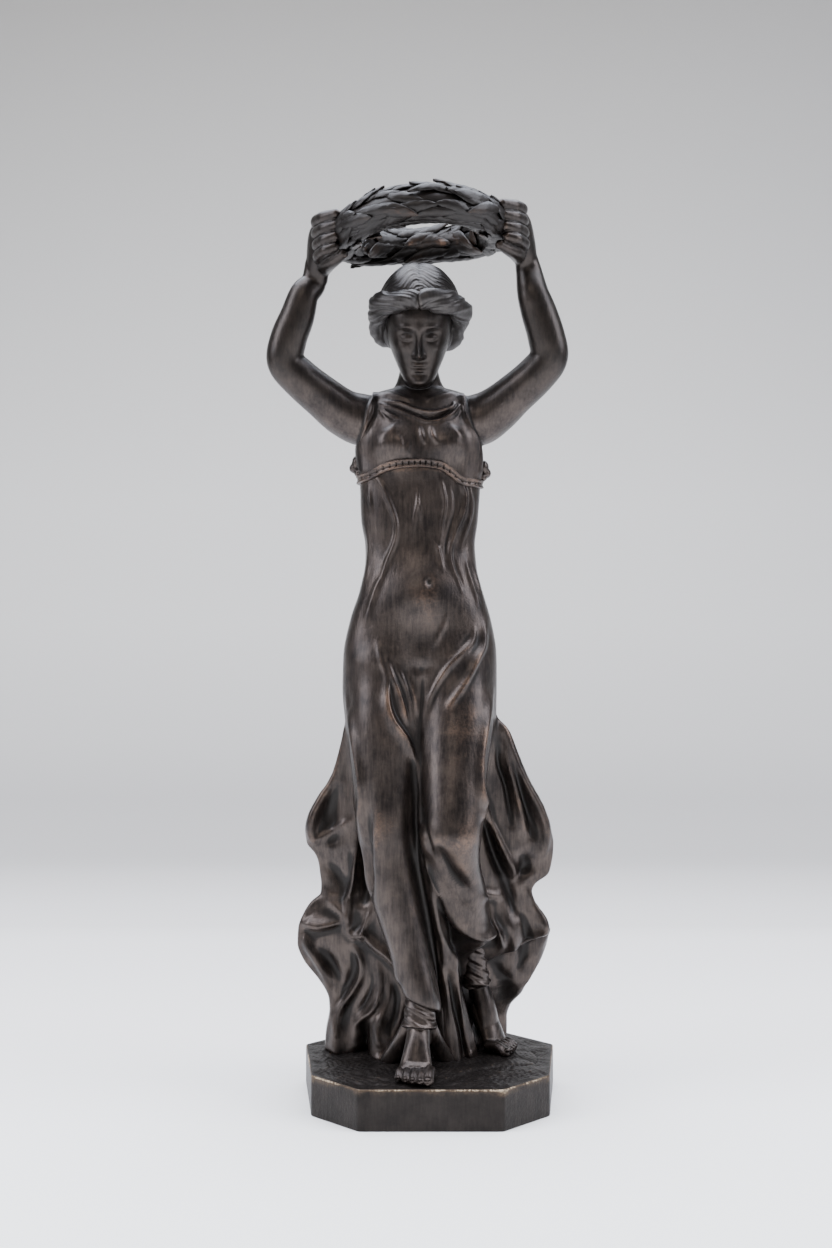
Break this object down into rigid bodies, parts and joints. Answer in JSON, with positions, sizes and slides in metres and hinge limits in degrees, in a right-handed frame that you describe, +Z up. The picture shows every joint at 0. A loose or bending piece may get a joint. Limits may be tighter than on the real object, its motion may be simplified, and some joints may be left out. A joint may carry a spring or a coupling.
{
  "type": "statuette",
  "caption": "Cast bronze statuette of a robed young woman striding forward and holding a laurel wreath over her bowed head, on a low plinth with cut corners.",
  "frame": {"origin": "middle of the plinth's underside", "axes": "+Z up, the figure faces -Y, and her left hand side is +X"},
  "size_m": [0.1478, 0.1235, 0.4515],
  "materials": {
    "plinth_bronze": "near-black brown patina, satin, the arrises rubbed to bare metal",
    "figure_bronze": "near-black brown patina, semi-gloss, worn warm copper-brown on the ridges",
    "wreath_bronze": "near-black brown patina, satin, leaf ribs worn warm brown"
  },
  "bodies": {
    "root": {"plinth": "plinth_bronze", "figure": "figure_bronze", "wreath": "wreath_bronze"}
  },
  "joints": []
}
